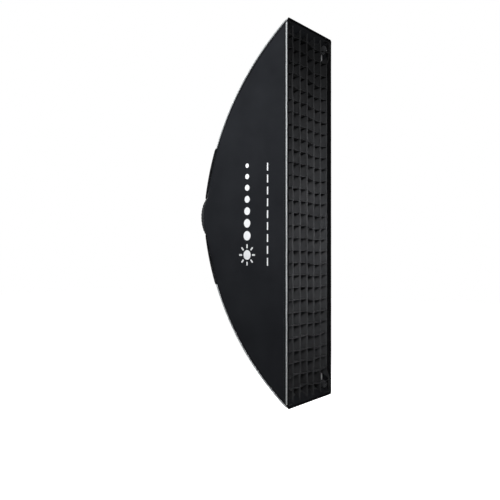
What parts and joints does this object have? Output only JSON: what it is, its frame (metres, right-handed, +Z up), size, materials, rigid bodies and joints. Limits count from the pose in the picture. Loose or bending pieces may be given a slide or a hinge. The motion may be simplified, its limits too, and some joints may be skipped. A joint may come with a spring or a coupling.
{
  "type": "studio softbox",
  "caption": "Tall strip softbox: bowed rods on a rotating bayonet speed ring spread a black fabric canopy with inner baffle, front diffuser and fabric egg-crate grid.",
  "frame": {"origin": "centre of the bayonet adapter's seat face, on the light's axis", "axes": "+Z up along the softbox's long side, +Y backwards along the light's axis into the light head, light leaves towards -Y, +X to the right"},
  "size_m": [0.3004, 0.3941, 1.2004],
  "materials": {
    "canopy_nylon": "matt coated nylon, black outside",
    "piping": "grey woven piping",
    "hook_and_loop": "black webbing and hook-and-loop tape",
    "grid_fabric": "black woven strips",
    "diffusion_cloth": "white translucent diffusion cloth",
    "ring_metal": "black anodised aluminium",
    "black_plastic": "black glass-filled nylon",
    "spring_steel": "bright spring steel",
    "rubber": "matt black rubber",
    "washer_plastic": "natural white bearing plastic",
    "release_red": "red moulded plastic"
  },
  "bodies": {
    "adapter": {"bayonet_adapter": "ring_metal", "slide_washer": "washer_plastic", "retaining_ring": "ring_metal", "retaining_screw_1": "spring_steel", "retaining_screw_2": "spring_steel", "retaining_screw_3": "spring_steel", "retaining_screw_4": "spring_steel"},
    "ring": {"speed_ring": "ring_metal", "rear_cuff": "hook_and_loop", "hinge_pin_top_left": "spring_steel", "hinge_pin_top_right": "spring_steel", "hinge_pin_bottom_left": "spring_steel", "hinge_pin_bottom_right": "spring_steel", "side_panel_left": "canopy_nylon", "side_panel_right": "canopy_nylon", "top_panel": "canopy_nylon", "bottom_panel": "canopy_nylon", "front_hem": "hook_and_loop", "front_piping": "piping", "inner_baffle": "diffusion_cloth", "seam_piping_top_left": "piping", "seam_piping_top_right": "piping", "seam_piping_bottom_left": "piping", "seam_piping_bottom_right": "piping", "seam_guard_top_left": "hook_and_loop", "seam_guard_top_right": "hook_and_loop", "seam_guard_bottom_left": "hook_and_loop", "seam_guard_bottom_right": "hook_and_loop", "baffle_strap_top_left": "hook_and_loop", "baffle_strap_top_right": "hook_and_loop", "baffle_strap_bottom_left": "hook_and_loop", "baffle_strap_bottom_right": "hook_and_loop"},
    "lock": {"lock_knob": "black_plastic"},
    "diffuser": {"front_diffuser": "diffusion_cloth"},
    "grid_body": {"grid": "grid_fabric"},
    "rod_body_top_left": {"rod_socket_top_left": "black_plastic", "rod_top_left": "spring_steel", "rod_tip_top_left": "rubber", "corner_pocket_top_left": "canopy_nylon"},
    "button_top_left": {"release_button_top_left": "release_red"},
    "rod_body_top_right": {"rod_socket_top_right": "black_plastic", "rod_top_right": "spring_steel", "rod_tip_top_right": "rubber", "corner_pocket_top_right": "canopy_nylon"},
    "button_top_right": {"release_button_top_right": "release_red"},
    "rod_body_bottom_left": {"rod_socket_bottom_left": "black_plastic", "rod_bottom_left": "spring_steel", "rod_tip_bottom_left": "rubber", "corner_pocket_bottom_left": "canopy_nylon"},
    "button_bottom_left": {"release_button_bottom_left": "release_red"},
    "rod_body_bottom_right": {"rod_socket_bottom_right": "black_plastic", "rod_bottom_right": "spring_steel", "rod_tip_bottom_right": "rubber", "corner_pocket_bottom_right": "canopy_nylon"},
    "button_bottom_right": {"release_button_bottom_right": "release_red"}
  },
  "joints": [
    {"name": "ring_rotation", "type": "hinge", "parent": "adapter", "child": "ring", "pos_m": [0, 0, 0], "axis": [0, 1, 0], "continuous": true},
    {"name": "rod_fold_top_left", "type": "hinge", "parent": "ring", "child": "rod_body_top_left", "pos_m": [-0.05, -0.03, 0.052], "axis": [1, 0, 0], "range_deg": [0, 55], "deforming": ["side_panel_left", "side_panel_right", "top_panel", "bottom_panel", "front_hem", "front_piping", "inner_baffle", "seam_piping_top_left", "seam_piping_top_right", "seam_piping_bottom_left", "seam_piping_bottom_right", "seam_guard_top_left", "seam_guard_top_right", "seam_guard_bottom_left", "seam_guard_bottom_right", "baffle_strap_top_left", "baffle_strap_top_right", "baffle_strap_bottom_left", "baffle_strap_bottom_right", "front_diffuser", "grid"]},
    {"name": "rod_fold_top_right", "type": "hinge", "parent": "ring", "child": "rod_body_top_right", "pos_m": [0.05, -0.03, 0.052], "axis": [1, 0, 0], "range_deg": [0, 55]},
    {"name": "rod_fold_bottom_left", "type": "hinge", "parent": "ring", "child": "rod_body_bottom_left", "pos_m": [-0.05, -0.03, -0.052], "axis": [-1, 0, 0], "range_deg": [0, 55]},
    {"name": "rod_fold_bottom_right", "type": "hinge", "parent": "ring", "child": "rod_body_bottom_right", "pos_m": [0.05, -0.03, -0.052], "axis": [-1, 0, 0], "range_deg": [0, 55]},
    {"name": "button_press_top_left", "type": "slide", "parent": "ring", "child": "button_top_left", "axis": [0, 1, 0], "range_m": [0, 0.003], "stiffness_N_per_m": 400, "springref_m": -0.001},
    {"name": "button_press_top_right", "type": "slide", "parent": "ring", "child": "button_top_right", "axis": [0, 1, 0], "range_m": [0, 0.003], "stiffness_N_per_m": 400, "springref_m": -0.001},
    {"name": "button_press_bottom_left", "type": "slide", "parent": "ring", "child": "button_bottom_left", "axis": [0, 1, 0], "range_m": [0, 0.003], "stiffness_N_per_m": 400, "springref_m": -0.001},
    {"name": "button_press_bottom_right", "type": "slide", "parent": "ring", "child": "button_bottom_right", "axis": [0, 1, 0], "range_m": [0, 0.003], "stiffness_N_per_m": 400, "springref_m": -0.001},
    {"name": "lock_turn", "type": "hinge", "parent": "ring", "child": "lock", "pos_m": [0.0565, -0.0135, 0], "axis": [1, 0, 0], "range_deg": [0, 360]},
    {"name": "diffuser_off", "type": "slide", "parent": "ring", "child": "diffuser", "axis": [0, -1, 0], "range_m": [0, 0.12]},
    {"name": "grid_off", "type": "slide", "parent": "diffuser", "child": "grid_body", "axis": [0, -1, 0], "range_m": [0, 0.12]}
  ],
  "couplings": [
    {"joint": "rod_fold_top_right", "follows": "rod_fold_top_left", "ratio": 1},
    {"joint": "rod_fold_bottom_left", "follows": "rod_fold_top_left", "ratio": 1},
    {"joint": "rod_fold_bottom_right", "follows": "rod_fold_top_left", "ratio": 1}
  ]
}
